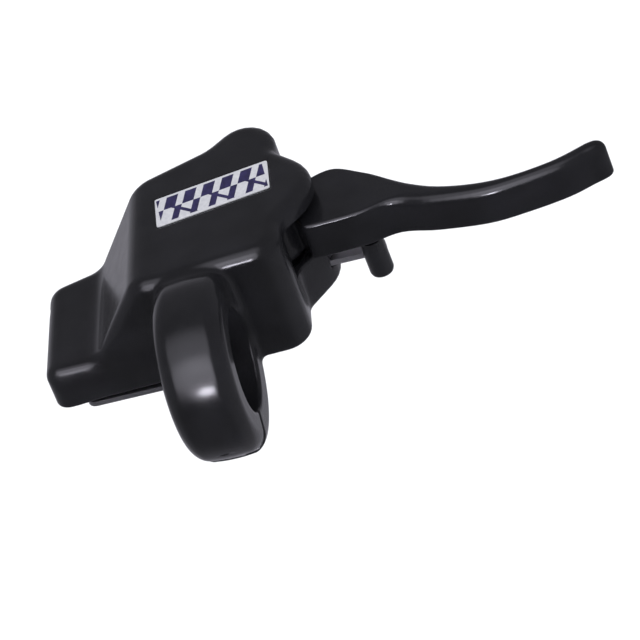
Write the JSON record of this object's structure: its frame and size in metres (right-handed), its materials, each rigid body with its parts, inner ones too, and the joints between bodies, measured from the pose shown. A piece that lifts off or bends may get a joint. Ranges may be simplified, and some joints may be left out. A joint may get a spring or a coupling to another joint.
{
  "type": "handlebar lever control",
  "caption": "Gloss black handlebar lever control: cast clamp housing, curved finger lever on a sprung pivot, inner arm with a swivel post for a cable, split clamp ring.",
  "frame": {"origin": "on the handlebar's axis at the middle of the clamp ring's width", "axes": "+X along the handlebar towards the lever's tip, +Y from the bar into the housing, +Z out of the housing's flat top and along the lever's pivot"},
  "size_m": [0.1253, 0.0753, 0.0399],
  "materials": {
    "black_cast": "gloss",
    "black_lever": "gloss",
    "black_pin": "satin",
    "plate": "satin",
    "screw_steel": "satin",
    "spring_steel": "satin",
    "bronze": "satin",
    "brass": "satin",
    "alloy": "satin",
    "rubber": "matte",
    "black_screw": "satin",
    "badge_foil": "gloss"
  },
  "bodies": {
    "housing_body": {"housing": "black_cast", "bottom_cover": "plate", "cover_screw_1": "screw_steel", "cover_screw_2": "screw_steel", "cover_screw_3": "screw_steel", "cover_screw_4": "screw_steel", "pivot_bolt": "screw_steel", "pivot_washer": "screw_steel", "return_spring": "spring_steel", "return_stop": "plate", "return_stop_pin": "spring_steel", "cable_inlet_bush": "alloy", "inlet_seal": "rubber", "clamp_screw": "black_screw", "clamp_washer": "black_screw", "badge": "badge_foil"},
    "lever_body": {"lever": "black_lever", "upper_bush": "bronze", "lower_bush": "bronze", "stop_peg": "black_pin"},
    "post_body": {"swivel_post": "brass", "post_clip": "spring_steel"}
  },
  "joints": [
    {"name": "lever_pivot", "type": "hinge", "parent": "housing_body", "child": "lever_body", "pos_m": [0.0135, 0.032, 0.007], "axis": [0, 0, 1], "range_deg": [-12.5, 0], "stiffness_Nm_per_rad": 0.12, "springref_deg": 34.38, "deforming": ["return_spring"]},
    {"name": "post_swivel", "type": "hinge", "parent": "lever_body", "child": "post_body", "pos_m": [0.008, 0.0452, -0.0057], "axis": [0, 0, 1], "range_deg": [0, 12.5]}
  ],
  "couplings": [
    {"joint": "post_swivel", "follows": "lever_pivot", "ratio": -1}
  ]
}
